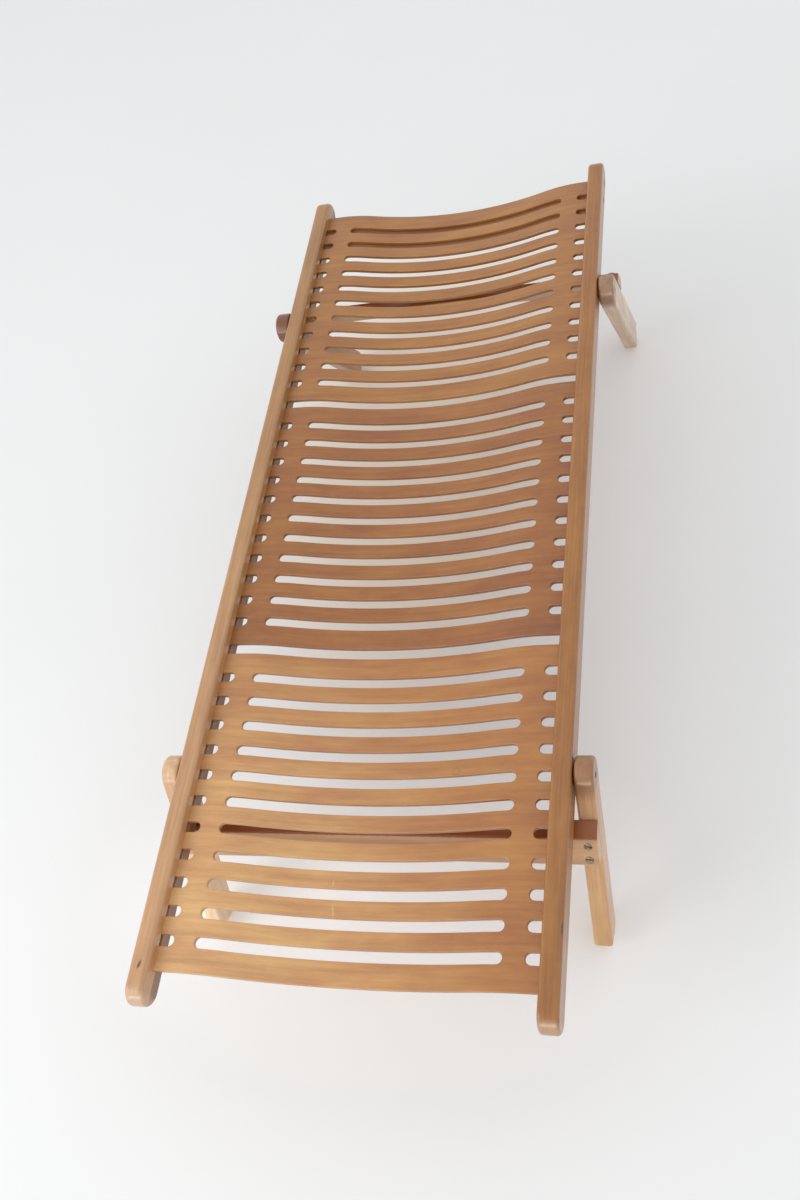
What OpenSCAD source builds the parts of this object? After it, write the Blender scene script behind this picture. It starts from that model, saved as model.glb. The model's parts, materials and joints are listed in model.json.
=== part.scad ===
/* [Panels] */
// Length of one panel along the bed
panel_len = 400; // [360:2:440]
// Open gap between two neighbouring panels
panel_gap = 14.2; // [8:0.2:24]
// Thickness of the moulded plywood
panel_t = 5.5; // [4.5:0.5:8]
// Depth of a panel's flat edge below the top of the rails
panel_drop = 14.2; // [12:0.1:16]
// How far the middle of a panel dips below its flat edges
panel_sag = 24.3; // [20:0.1:27]
// Width of the flat strip of a panel beside each rail
panel_flat = 14; // [10:1:24]
// Radius of the bend in the middle of a panel
belly_r = 580; // [520:10:650]

/* [Slots] */
// Rows of slots in one panel
slot_rows = 11; // [8:1:12]
// Width of a slot
slot_w = 12.8; // [9:0.2:15]
// Width of the slat at each end of a panel
end_slat = 27.6; // [20:0.2:34]
// Width of the wood left between a middle slot and an edge slot
slot_bridge = 24.2; // [18:0.2:36]
// Length of an edge slot that shows beside the rail
edge_slot = 16.8; // [12:0.1:24]

/* [Rails] */
// Clear width between the two side rails
bed_w = 426; // [400:2:500]
// Height of a side rail
rail_h = 39; // [37:0.5:43]
// Thickness of a side rail
rail_t = 22.5; // [21:0.5:28]
// Radius along the long edges of a side rail
rail_round = 4.5; // [2:0.5:7]
// Length of rail past the last panel at the foot end
rail_foot_end = 37.1; // [32:0.1:60]
// Length of rail past the last panel at the head end
rail_head_end = 34.5; // [32:0.1:60]
// Depth of the groove that holds the panels
groove_depth = 8.5; // [6:0.5:9]

/* [Head rib] */
// Width of the curved rib along the bed
rib_w = 79; // [60:1:90]
// Thickness of the curved rib
rib_t = 8; // [7:0.5:12]
// How far the rib reaches past the end of the head panel
rib_reach = 9; // [0:0.5:12]
// Distance between the two screws in each end of the rib
rib_screw_gap = 39; // [24:1:44]
// Distance from the rib's outer edge to its outer screw
rib_screw_inset = 6; // [5:0.5:10]
// Length of a rib screw
rib_screw_len = 48; // [40:1:50]

/* [Legs] */
// Width of a leg seen from the side of the bed
leg_w = 43; // [38:0.5:46]
// Thickness of a leg
leg_t = 21.5; // [18:0.5:26]
// Radius along the long edges of a leg
leg_round = 4; // [2:0.5:6]
// Length of a foot leg from its pivot to its square end
foot_leg_len = 231; // [210:1:250]
// Length of a head leg from its pivot to its square end
head_leg_len = 330; // [300:1:350]
// Angle between an open foot leg and the square to the rails
foot_leg_splay = 29.5; // [25:0.5:34]
// Angle between an open head leg and the square to the rails
head_leg_splay = 34; // [29:0.5:38]
// Distance of the foot pivot from the foot end of the rails
foot_pivot_inset = 275.2; // [250:0.1:300]
// Distance of the head pivot from the head end of the rails
head_pivot_inset = 270.9; // [250:0.1:300]
// Radius on the upper corner of a leg's end
foot_round = 7; // [3:0.5:12]
// Height of the lower corner that is cut off flat on the floor
foot_trim = 4; // [2:0.5:6]

/* [Crossbars] */
// Thickness of the crossbar at the foot end
foot_bar_t = 19.5; // [16:0.5:26]
// Thickness of the crossbar at the head end
head_bar_t = 17; // [14:0.5:26]
// Height of a crossbar's outer face
bar_h = 38; // [34:0.5:46]
// Radius along a crossbar's outer edges
bar_round = 3; // [1:0.5:5]
// Distance from a crossbar's lower edge to its lower screws
bar_screw_inset = 8.4; // [7:0.1:10]
// Distance between the two screws at each end of a crossbar
bar_screw_gap = 18.3; // [14:0.1:19]
// Length of a crossbar screw
bar_screw_len = 46; // [38:1:56]

/* [Hardware] */
// Diameter of the countersunk head of a crossbar screw
bar_screw_head_d = 9.5; // [8:0.5:10]
// Diameter of the countersunk head of a rib screw
rib_screw_head_d = 8; // [7:0.5:9]
// Diameter of a screw's shank
screw_d = 4.2; // [3.4:0.2:5]
// Width of the slot in a screw's head
screw_slot_w = 1.2; // [0.8:0.1:1.6]
// Depth of the slot in a screw's head
screw_slot_depth = 1.1; // [0.6:0.1:1.4]
// Depth of a screw's head below the wood around it
screw_sink = 0.2; // [0.1:0.1:0.6]
// Diameter of a pivot bolt's head
bolt_head_d = 14; // [11:0.5:16]
// Thickness of a pivot bolt's head
bolt_head_t = 3.2; // [2.4:0.2:4]
// Depth of a pivot bolt's head below the face of the leg
bolt_sink = 0.6; // [0.4:0.1:2]
// Diameter of a pivot bolt's shoulder, on which the leg turns
bolt_d = 8; // [7:0.5:9]
// Diameter of a pivot bolt's thread
thread_d = 6; // [5:0.5:6.5]
// Length of a pivot bolt's thread
thread_len = 10; // [8:0.5:11]
// Width across the corners of the key socket in a pivot bolt
key_w = 5.8; // [4.6:0.2:6.4]
// Depth of the key socket in a pivot bolt
key_depth = 2; // [1.4:0.2:2.2]
// Diameter of the threaded insert in the rail
insert_d = 11; // [9.5:0.5:12]
// Length of the threaded insert in the rail
insert_len = 11.5; // [11:0.1:12]
// Diameter of the washer between a rail and a leg
washer_d = 20; // [14:1:24]
// Thickness of the washer between a rail and a leg
washer_t = 1; // [1:0.25:3]

/* [Stop buffers] */
// Diameter of a stop buffer
buffer_d = 16; // [10:1:18]
// Diameter of the stem that holds a stop buffer in the rail
stem_d = 6; // [4:0.5:8]
// Length of the stem that holds a stop buffer in the rail
stem_len = 8; // [6:0.5:9]

/* [Clearances] */
// Height of the gap between a panel's belly and a crossbar's top when open
bar_drop = 5.9; // [2:0.1:8]
// Height of the gap between a panel's belly and a crossbar when folded
fold_gap = 0.5; // [0.4:0.1:1]
// Gap between an open crossbar and its stop buffer
stop_gap = 0.4; // [0.3:0.1:0.6]
// Gap between two faces that turn past each other
face_gap = 0.35; // [0.3:0.05:0.6]
// Gap round a bolt's head in its pocket
head_gap = 0.6; // [0.4:0.1:1]
// Radial clearance of a leg's bore on its bolt
pivot_fit = 0.05; // [0.03:0.01:0.09]
// Radial clearance of a washer's bore on its bolt
washer_fit = 0.3; // [0.2:0.05:0.5]
// Clearance round pieces that are screwed, glued or pressed in
fixed_fit = 0.05; // [0.03:0.01:0.1]
// Clearance between a panel's edge and its groove
groove_fit = 0.15; // [0.1:0.05:0.3]

/* [Hidden] */
$fn = 48;

// How far a cutting shape reaches past what it cuts
over = 1;

rail_wood = [0.80, 0.56, 0.34];
panel_wood = [0.74, 0.50, 0.30];
leg_wood = [0.76, 0.52, 0.31];
steel = [0.62, 0.60, 0.56];
dark_steel = [0.22, 0.19, 0.17];
rubber = [0.08, 0.08, 0.08];

left = -1;
right = 1;
foot = -1;
head = 1;

// Faces across the bed, each measured from its middle
rail_in = bed_w / 2;
rail_out = rail_in + rail_t;
rail_mid = rail_in + rail_t / 2;
washer_in = rail_out + fixed_fit;
leg_in = washer_in + washer_t + face_gap;
leg_mid = leg_in + leg_t / 2;
leg_out = leg_in + leg_t;
panel_edge = rail_in + groove_depth - groove_fit;

// Lengths along the bed, each measured from the middle of the rails
panel_count = 3;
panel_step = panel_len + panel_gap;
row_len = panel_count * panel_step - panel_gap;
rail_len = row_len + rail_foot_end + rail_head_end;
row_start = rail_foot_end - rail_len / 2;
row_end = row_start + row_len;
rib_y = row_end + rib_reach - rib_w / 2;
rib_screw_y = row_end + rib_reach - rib_screw_inset;
slot_pitch = (panel_len - 2 * end_slat - slot_w) / (slot_rows - 1);
first_slot = end_slat + slot_w / 2 - panel_len / 2;
slot_half = rail_in - edge_slot - slot_bridge;

// The hollow of a panel: a belly arc that meets a shoulder arc on each side
hollow_half = rail_in - panel_flat;
bend = 2 * atan(panel_sag / hollow_half);
shoulder_r = hollow_half / sin(bend) - belly_r;
belly_z = belly_r - panel_drop - panel_sag;
belly_first = -bend * 11 / 12;
shoulder_z = -panel_drop - shoulder_r;
belly_low = panel_drop + panel_sag + panel_t;

// The groove and the rib, below the top of the rails
groove_z = -panel_drop - panel_t / 2;
groove_w = panel_t + 2 * groove_fit;
rib_top = panel_t + fixed_fit;
rib_z = -panel_drop - rib_top - rib_t / 2;

// The pivots sit just so low that a folded crossbar clears the bellies
pivot_drop = belly_low + fold_gap - leg_w / 2;
bar_top_drop = belly_low + bar_drop;
buffer_h = bar_top_drop - stop_gap - rail_h;
pocket_depth = bolt_sink + bolt_head_t + face_gap;
bar_back = leg_w / 2 + fixed_fit;

// Numbers of the foot end and the head end
function splay(end) = end == head ? head_leg_splay : foot_leg_splay;
function leg_len(end) = end == head ? head_leg_len : foot_leg_len;
function inset(end) = end == head ? head_pivot_inset : foot_pivot_inset;
function bar_front(end) = bar_back + (end == head ? head_bar_t : foot_bar_t);
function pivot_y(end) = end * (rail_len / 2 - inset(end));

// Where a crossbar's bevelled top crosses a line at depth n outside the pivot
function bar_top(end, n) =
    (bar_top_drop - pivot_drop + n * sin(splay(end))) / cos(splay(end));
function bar_low(end) = bar_top(end, bar_front(end)) + bar_h;
function bar_screw_z(end) = bar_screw_inset - bar_low(end);
function buffer_y(end) =
    pivot_y(end) + end * ((bar_back + bar_front(end)) / 2 * cos(splay(end))
    + (bar_top(end, bar_back) + bar_top(end, bar_front(end))) / 2 * sin(splay(end)));

// Lowest corner of a leg's square end, below the rails
function toe_y(end) = pivot_y(end)
    + end * (leg_len(end) * sin(splay(end)) - leg_w / 2 * cos(splay(end)));
function toe_z(end) = -pivot_drop
    - leg_len(end) * cos(splay(end)) - leg_w / 2 * sin(splay(end));

// The bed slopes because the head legs are longer
slope = atan((toe_z(foot) - toe_z(head)) / (toe_y(head) - toe_y(foot)));
bed_z = -toe_y(foot) * sin(slope) - toe_z(foot) * cos(slope) - foot_trim;
bed_y = -rail_h / 2 * sin(slope);

// Stands the bed on the floor, from a frame with the rails' top at zero
module on_legs() {
    translate([0, bed_y, bed_z]) rotate([slope, 0, 0]) children();
}

// Turns a piece made for the right side into one for either side
module on_side(side) {
    if (side == right) children();
    else mirror([1, 0, 0]) children();
}

// Turns a piece made for the head end into one for either end
module at_end(end) {
    if (end == head) children();
    else mirror([0, 1, 0]) children();
}

// Frame of an open leg: origin on the pivot, Z up the leg, Y outwards
module at_leg(end) {
    on_legs() at_end(end)
        translate([0, abs(pivot_y(end)), -pivot_drop])
            rotate([splay(end), 0, 0]) children();
}

// Origin on a pivot's axis in the plane x, Z outwards
module at_pivot(end, x) {
    translate([x, pivot_y(end), -pivot_drop]) rotate([0, 90, 0]) children();
}

// Places of the two screws through one rail into the rib, Z outwards
module at_rib_screws() {
    for (k = [0, 1])
        translate([rail_out - screw_sink, rib_screw_y - k * rib_screw_gap, rib_z])
            rotate([0, 90, 0]) children();
}

// Places of the two screws at one end of a crossbar, in the frame of a leg
module at_bar_screws(end) {
    for (k = [0, 1])
        translate([leg_mid, bar_front(end) - screw_sink, bar_screw_z(end) + k * bar_screw_gap])
            rotate([-90, 0, 0]) children();
}

// Rectangle with four rounded corners, centred
module rounded_section(w, h, r) {
    square([w - 2 * r, h], center = true);
    square([w, h - 2 * r], center = true);
    for (x = [r - w / 2, w / 2 - r])
        for (y = [r - h / 2, h / 2 - r])
            translate([x, y]) circle(r);
}

// Half-round end of a board of width w and thickness t, towards +Y
module round_end(w, t, r) {
    rotate([0, 90, 0]) rotate_extrude(angle = 180) intersection() {
        rounded_section(w, t, r);
        translate([0, -t]) square([w, 2 * t]);
    }
}

// Bar along X that leaves the corner between +Y and -Z round
module corner_cut(r, len) {
    difference() {
        translate([-len / 2, 0, -r - over]) cube([len, r + over, r + over]);
        rotate([0, 90, 0]) cylinder(h = len + over, r = r, center = true);
    }
}

// Points of an arc about a centre, from angle a to angle b
function arc(centre, r, a, b, steps = 6) =
    [for (i = [0 : steps]) centre + r * [cos(a + (b - a) * i / steps), sin(a + (b - a) * i / steps)]];

// Outline of a countersunk screw, grown all round by the given fit
module screw_shape(len, head_d, fit) {
    cone = (head_d - screw_d) / 2;
    shank_r = screw_d / 2 + fit;
    translate([0, 0, -cone]) cylinder(h = cone, r1 = shank_r, r2 = head_d / 2 + fit);
    translate([0, 0, screw_d - len]) cylinder(h = len - screw_d, r = shank_r);
    translate([0, 0, -len - fit]) cylinder(h = screw_d + fit, r1 = 0.2, r2 = shank_r);
}

// Slotted screw, its head's top at zero and its tip down the Z axis
module slotted_screw(len, head_d) {
    difference() {
        screw_shape(len, head_d, 0);
        translate([0, 0, over / 2 - screw_slot_depth / 2])
            cube([head_d + over, screw_slot_w, screw_slot_depth + over], center = true);
    }
}

// Hole for a slotted screw, open above its head
module screw_hole(len, head_d) {
    screw_shape(len, head_d, fixed_fit);
    cylinder(h = screw_sink + over, r = head_d / 2 + fixed_fit);
}

// Line across the bed at a given depth below the panels' top, ending at half_w
function hollow_line(depth, half_w) = concat(
    [[-half_w, -panel_drop - depth]],
    arc([-hollow_half, shoulder_z], shoulder_r - depth, 90, 90 - bend),
    arc([0, belly_z], belly_r + depth, belly_first - 90, -90 - belly_first, 22),
    arc([hollow_half, shoulder_z], shoulder_r - depth, 90 + bend, 90),
    [[half_w, -panel_drop - depth]]);

function reversed(points) = [for (i = [len(points) - 1 : -1 : 0]) points[i]];

// Sheet that follows the hollow of the bed, its top a given depth below the panels' top
module hollow_sheet(depth, t, half_w, len) {
    rotate([90, 0, 0]) linear_extrude(len, center = true) polygon(concat(
        hollow_line(depth, half_w),
        reversed(hollow_line(depth + t, half_w))));
}

// Slot between two places across the bed
module slot(x1, x2) {
    translate([x1 + slot_w / 2, -slot_w / 2]) square([x2 - x1 - slot_w, slot_w]);
    for (x = [x1 + slot_w / 2, x2 - slot_w / 2])
        translate([x, 0]) circle(slot_w / 2);
}

// One row of slots, tall enough to cut through a panel anywhere
module slot_row() {
    translate([0, 0, -belly_low - over]) linear_extrude(belly_low + over) {
        slot(-slot_half, slot_half);
        for (side = [left, right])
            mirror([side == left ? 1 : 0, 0])
                slot(rail_in - edge_slot, panel_edge + slot_w);
    }
}

// Moulded plywood panel, counted from the foot end
module panel(place) {
    color(panel_wood) on_legs()
        translate([0, row_start + panel_len / 2 + place * panel_step, 0]) difference() {
            hollow_sheet(0, panel_t, panel_edge, panel_len);
            for (row = [0 : slot_rows - 1])
                translate([0, first_slot + row * slot_pitch, 0]) slot_row();
        }
}

// Rail with rounded ends, a groove for the panels and holes for what it carries
module rail(side) {
    color(rail_wood) on_legs() on_side(side) difference() {
        translate([rail_mid, 0, -rail_h / 2]) {
            rotate([90, 0, 0]) linear_extrude(rail_len - rail_h, center = true)
                rounded_section(rail_t, rail_h, rail_round);
            for (end = [foot, head]) at_end(end)
                translate([0, rail_len / 2 - rail_h / 2, 0]) round_end(rail_h, rail_t, rail_round);
        }
        translate([rail_in - over, row_start - groove_fit, groove_z - groove_w / 2])
            cube([groove_depth + over, row_len + 2 * groove_fit, groove_w]);
        for (end = [foot, head]) {
            at_pivot(end, rail_out - insert_len - 2 * fixed_fit)
                cylinder(h = insert_len + over, r = insert_d / 2 + fixed_fit);
            translate([rail_mid, buffer_y(end), -rail_h - over])
                cylinder(h = stem_len + over + fixed_fit, r = stem_d / 2 + fixed_fit);
        }
        at_rib_screws() screw_hole(rib_screw_len, rib_screw_head_d);
    }
}

// Curved strip under the end of the head panel
module head_rib() {
    color(leg_wood) on_legs() difference() {
        translate([0, rib_y, 0]) hollow_sheet(rib_top, rib_t, rail_in - fixed_fit, rib_w);
        for (side = [left, right])
            on_side(side) at_rib_screws() screw_hole(rib_screw_len, rib_screw_head_d);
    }
}

module rib_screws() {
    color(steel) on_legs()
        for (side = [left, right])
            on_side(side) at_rib_screws() slotted_screw(rib_screw_len, rib_screw_head_d);
}

// Rubber buffers under the rails, each with a stem pressed into the rail
module stop_buffers() {
    color(rubber) on_legs()
        for (end = [foot, head])
            for (side = [left, right])
                translate([side * rail_mid, buffer_y(end), -rail_h - buffer_h]) {
                    cylinder(h = buffer_h - fixed_fit, r = buffer_d / 2);
                    cylinder(h = buffer_h + stem_len, r = stem_d / 2);
                }
}

// Threaded inserts, flush with the outer faces of the rails
module pivot_inserts() {
    color(steel) on_legs()
        for (end = [foot, head])
            for (side = [left, right])
                on_side(side) at_pivot(end, rail_out - fixed_fit - insert_len) difference() {
                    cylinder(h = insert_len, r = insert_d / 2);
                    translate([0, 0, -over])
                        cylinder(h = insert_len + 2 * over, r = thread_d / 2 + fixed_fit);
                }
}

module pivot_washers() {
    color(steel) on_legs()
        for (end = [foot, head])
            for (side = [left, right])
                on_side(side) at_pivot(end, washer_in) difference() {
                    cylinder(h = washer_t, r = washer_d / 2);
                    translate([0, 0, -over])
                        cylinder(h = washer_t + 2 * over, r = bolt_d / 2 + washer_fit);
                }
}

// Shouldered bolt that a leg turns on, screwed into the insert
module pivot_bolt(end, side) {
    shoulder_len = leg_out - bolt_sink - bolt_head_t - washer_in;
    color(dark_steel) on_legs() on_side(side) at_pivot(end, washer_in) difference() {
        union() {
            translate([0, 0, shoulder_len]) cylinder(h = bolt_head_t, r = bolt_head_d / 2);
            cylinder(h = shoulder_len, r = bolt_d / 2);
            translate([0, 0, -thread_len]) cylinder(h = thread_len, r = thread_d / 2);
        }
        translate([0, 0, shoulder_len + bolt_head_t - key_depth])
            cylinder(h = key_depth + over, r = key_w / 2, $fn = 6);
    }
}

// Leg with a round top, standing on the flat that the floor cuts
module leg(end, side) {
    color(leg_wood) difference() {
        at_leg(end) on_side(side) difference() {
            translate([leg_mid, 0, 0]) {
                translate([0, 0, -leg_len(end)]) linear_extrude(leg_len(end))
                    rounded_section(leg_t, leg_w, leg_round);
                rotate([90, 0, 0]) round_end(leg_w, leg_t, leg_round);
            }
            translate([leg_in - over, 0, 0]) rotate([0, 90, 0])
                cylinder(h = leg_t + 2 * over, r = bolt_d / 2 + pivot_fit);
            translate([leg_out - pocket_depth, 0, 0]) rotate([0, 90, 0])
                cylinder(h = pocket_depth + over, r = bolt_head_d / 2 + head_gap);
            translate([leg_mid, leg_w / 2 - foot_round, foot_round - leg_len(end)])
                corner_cut(foot_round, leg_t + 2 * over);
            at_bar_screws(end) screw_hole(bar_screw_len, bar_screw_head_d);
        }
        translate([-rail_len / 2, -rail_len / 2, -rail_h]) cube([rail_len, rail_len, rail_h]);
    }
}

// Crossbar on the outer edges of two legs, its top level with the rails when open
module crossbar(end) {
    front = bar_front(end) - bar_round;
    low_centre = [front, bar_round - bar_low(end)];
    top_centre = [front, -bar_top(end, front) - bar_round / cos(splay(end))];
    color(leg_wood) at_leg(end) difference() {
        rotate([90, 0, 90]) linear_extrude(2 * leg_out, center = true) polygon(concat(
            [[bar_back, -bar_top(end, bar_back)], [bar_back, -bar_low(end)]],
            arc(low_centre, bar_round, -90, 0),
            arc(top_centre, bar_round, 0, 90 - splay(end))));
        for (side = [left, right])
            on_side(side) at_bar_screws(end) screw_hole(bar_screw_len, bar_screw_head_d);
    }
}

module crossbar_screws(end) {
    color(steel) at_leg(end)
        for (side = [left, right])
            on_side(side) at_bar_screws(end) slotted_screw(bar_screw_len, bar_screw_head_d);
}

rail(left);  // left_rail
rail(right);  // right_rail
panel(2);  // head_panel
panel(1);  // middle_panel
panel(0);  // foot_panel
head_rib();
rib_screws();
stop_buffers();
pivot_inserts();
pivot_washers();
pivot_bolt(head, left);  // head_left_pivot_bolt
pivot_bolt(head, right);  // head_right_pivot_bolt
pivot_bolt(foot, left);  // foot_left_pivot_bolt
pivot_bolt(foot, right);  // foot_right_pivot_bolt
leg(head, left);  // head_left_leg
leg(head, right);  // head_right_leg
crossbar(head);  // head_crossbar
crossbar_screws(head);  // head_crossbar_screws
leg(foot, left);  // foot_left_leg
leg(foot, right);  // foot_right_leg
crossbar(foot);  // foot_crossbar
crossbar_screws(foot);  // foot_crossbar_screws
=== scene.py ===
import json
import math

import bmesh
import bpy
from mathutils import Euler, Matrix, Vector


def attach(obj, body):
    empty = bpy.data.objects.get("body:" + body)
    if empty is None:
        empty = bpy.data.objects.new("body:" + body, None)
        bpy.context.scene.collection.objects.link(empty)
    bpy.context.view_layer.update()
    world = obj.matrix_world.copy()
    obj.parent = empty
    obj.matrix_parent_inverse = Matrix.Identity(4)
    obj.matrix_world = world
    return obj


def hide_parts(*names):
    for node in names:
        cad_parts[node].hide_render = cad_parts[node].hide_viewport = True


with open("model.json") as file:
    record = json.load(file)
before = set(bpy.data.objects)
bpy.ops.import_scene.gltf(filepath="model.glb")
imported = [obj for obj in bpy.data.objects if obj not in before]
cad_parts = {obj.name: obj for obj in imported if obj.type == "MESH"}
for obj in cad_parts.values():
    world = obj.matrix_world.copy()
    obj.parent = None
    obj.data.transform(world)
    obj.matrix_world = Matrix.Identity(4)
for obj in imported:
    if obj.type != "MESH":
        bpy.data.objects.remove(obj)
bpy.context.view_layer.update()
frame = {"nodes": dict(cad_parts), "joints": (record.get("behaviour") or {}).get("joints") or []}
nodes = frame["nodes"]
mm = 0.001

cameraPlace = dict(
    spot=(0.42879, -0.98250, 1.33474),
    turn=(38.2617, 14.8769, 8.5924),     # degrees about X, Y and Z
    lens=34.63,
)

# Sizes in millimetres that several pieces share. They agree with the solids, but only the dressed feet
# have rounded edges: footEdge, footCorner and footBlend.
bedSizes = dict(railLength=1300, railHeight=39, railThickness=22.5, railRound=4.5, clearWidth=426,
                headPivotInset=270.9, footPivotInset=275.2, pivotDrop=23, footEnd=37.1)
panelSizes = dict(length=400, gap=14.2, thickness=5.5, rows=11, slotWidth=12.8, endSlat=27.6,
                  bridge=24.2, edgeSlot=16.8, softEdge=1.1, grooveDepth=8.35)
ribSizes = dict(width=79, thickness=8, reach=9, softEdge=2, screwInset=6, screwGap=39, screwLength=48)
legSizes = dict(width=43, thickness=21.5, softEdge=4, footRound=7, footEdge=3.4, footCorner=3.6,
                footBlend=(20, 9), gapToRail=1.4,     # the blend is the way up to the leg's own edges
                head=dict(length=330, splay=34), foot=dict(length=231, splay=29.5))
barSizes = dict(height=38, softEdge=3, endEdge=1.4, topDrop=49.9, screwInset=8.4, screwGap=18.3,
                screwLength=46, head=17, foot=19.5)
clearance = 0.05     # between solids that touch

sides, ends = ("left", "right"), ("head", "foot")
endWay = {"head": 1, "foot": -1}
railIn = bedSizes["clearWidth"] / 2
railOut = railIn + bedSizes["railThickness"]
railMid = railIn + bedSizes["railThickness"] / 2
legIn = railOut + legSizes["gapToRail"]
legMid = legIn + legSizes["thickness"] / 2
legOut = legIn + legSizes["thickness"]
rowStart = bedSizes["footEnd"] - bedSizes["railLength"] / 2
rowEnd = rowStart + 3 * panelSizes["length"] + 2 * panelSizes["gap"]


# Places, from the joints of the frame

def frameOf(xAxis, yAxis, zAxis, origin):
    turned = Matrix((xAxis, yAxis, zAxis)).transposed().to_4x4()
    turned.translation = origin
    return turned


pivots = {j["name"]: Vector(j["pos_m"]) for j in frame["joints"]}
alongBed = (pivots["head_frame_fold"] - pivots["foot_frame_fold"]).normalized()
awayFromBed = Vector((1, 0, 0)).cross(alongBed)
pivotY = {"head": bedSizes["railLength"] / 2 - bedSizes["headPivotInset"],
          "foot": bedSizes["railLength"] / 2 - bedSizes["footPivotInset"]}
bedOrigin = (pivots["head_frame_fold"] - alongBed * pivotY["head"] * mm
             + awayFromBed * bedSizes["pivotDrop"] * mm)
bedPlace = frameOf(Vector((1, 0, 0)), alongBed, awayFromBed, bedOrigin) @ Matrix.Scale(mm, 4)


def legPlace(end):
    flip = Matrix.Scale(-1, 4, (0, 1, 0)) if end == "foot" else Matrix.Identity(4)
    return (bedPlace @ flip @ Matrix.Translation((0, pivotY[end], -bedSizes["pivotDrop"]))
            @ Matrix.Rotation(math.radians(legSizes[end]["splay"]), 4, "X"))


sideFlip = {"left": Matrix.Scale(-1, 4, (1, 0, 0)), "right": Matrix.Identity(4)}


# Mesh helpers

def addCamera(place):
    data = bpy.data.cameras.new("camera")
    data.lens = place["lens"]
    camera = bpy.data.objects.new("camera", data)
    camera.location = place["spot"]
    camera.rotation_euler = Euler([math.radians(a) for a in place["turn"]], "XYZ")
    bpy.context.scene.collection.objects.link(camera)
    bpy.context.scene.camera = camera


def newObject(name, mesh):
    made = bpy.data.objects.new(name, mesh)
    bpy.context.scene.collection.objects.link(made)
    return made


def meshFrom(bm, name, place=None):
    if place is not None:
        bmesh.ops.transform(bm, matrix=place, verts=bm.verts)
        if place.determinant() < 0:
            bmesh.ops.reverse_faces(bm, faces=bm.faces)
    mesh = bpy.data.meshes.new(name)
    bm.to_mesh(mesh)
    bm.free()
    return mesh


def bakeModifiers(made):
    # the evaluated shape becomes the object's own plain mesh
    bpy.context.view_layer.update()
    graph = bpy.context.evaluated_depsgraph_get()
    shape = bpy.data.meshes.new_from_object(made.evaluated_get(graph),
                                            preserve_all_data_layers=True, depsgraph=graph)
    made.modifiers.clear()
    made.data = shape


def cutHoles(made, cutters):
    whole = bmesh.new()
    for mesh in cutters:
        whole.from_mesh(mesh)
    cutter = newObject(made.name + "Cutter", meshFrom(whole, "cutter"))
    cut = made.modifiers.new("holes", "BOOLEAN")
    cut.operation = "DIFFERENCE"
    cut.solver = "EXACT"
    cut.object = cutter
    bakeModifiers(made)
    bpy.data.objects.remove(cutter)


def smoothFaces(made, sharpAngle=38):
    made.data.polygons.foreach_set("use_smooth", [True] * len(made.data.polygons))
    made.data.set_sharp_from_angle(angle=math.radians(sharpAngle))
    even = made.modifiers.new("evenNormals", "WEIGHTED_NORMAL")
    even.keep_sharp = True
    bakeModifiers(made)


def storeBoard(mesh, place, order=(0, 1, 2), shift=(0, 0, 0)):
    # "board" holds each point's place in the piece itself, in metres, X along the grain
    back = place.inverted()
    board = mesh.attributes.new("board", "FLOAT_VECTOR", "POINT")
    for vertex, value in zip(mesh.vertices, board.data):
        p = back @ vertex.co
        value.vector = [p[axis] * mm + s for axis, s in zip(order, shift)]


def cutAndDress(made, cutters, place, order, shift, finish):
    cutHoles(made, cutters)
    smoothFaces(made)
    storeBoard(made.data, place, order, shift)
    made.data.materials.append(finish)


def lathe(profile, place, segments=32):
    # closed shape turned about Z, from (radius, height) pairs listed upwards
    bm = bmesh.new()
    rings = []
    for radius, height in profile:
        if radius == 0:
            rings.append([bm.verts.new((0, 0, height))])
        else:
            turns = [2 * math.pi * i / segments for i in range(segments)]
            rings.append([bm.verts.new((radius * math.cos(a), radius * math.sin(a), height)) for a in turns])
    for low, high in zip(rings, rings[1:]):
        for i in range(segments):
            j = (i + 1) % segments
            if len(low) == 1:
                bm.faces.new((low[0], high[j], high[i]))
            elif len(high) == 1:
                bm.faces.new((low[i], low[j], high[0]))
            else:
                bm.faces.new((low[i], low[j], high[j], high[i]))
    return meshFrom(bm, "turned", place)


def boxMesh(low, high, place):
    bm = bmesh.new()
    bmesh.ops.create_cube(bm, size=1)
    for v in bm.verts:
        v.co = Vector([lo + (c + 0.5) * (hi - lo) for lo, hi, c in zip(low, high, v.co)])
    return meshFrom(bm, "box", place)


def roundOutline(corners):
    # corners are (u, v, corner radius, edge radius), anticlockwise; gives points with their
    # outward directions, so that a board's long edges can be rounded to any radius
    points = []
    count = len(corners)
    for k in range(count):
        before, here, after = (Vector(corners[i % count][:2]) for i in (k - 1, k, k + 1))
        radius, edge = corners[k][2:]
        came, goes = (here - before).normalized(), (after - here).normalized()
        turn = math.atan2(came.x * goes.y - came.y * goes.x, came.dot(goes))
        if turn < 0.01:
            points.append((here, Vector((came.y, -came.x)), edge))
            continue
        start = here - came * radius * math.tan(turn / 2)
        centre = start + Vector((-came.y, came.x)) * radius
        first = math.atan2(-came.x, came.y)
        stepAngle = 7.5 if radius > 10 else 20     # degrees
        steps = max(3, math.ceil(math.degrees(turn) / stepAngle))
        for i in range(steps + 1):
            a = first + turn * i / steps
            away = Vector((math.cos(a), math.sin(a)))
            points.append((centre + away * radius, away, edge))
    return [p for i, p in enumerate(points) if (p[0] - points[i - 1][0]).length > 1e-3]


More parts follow.
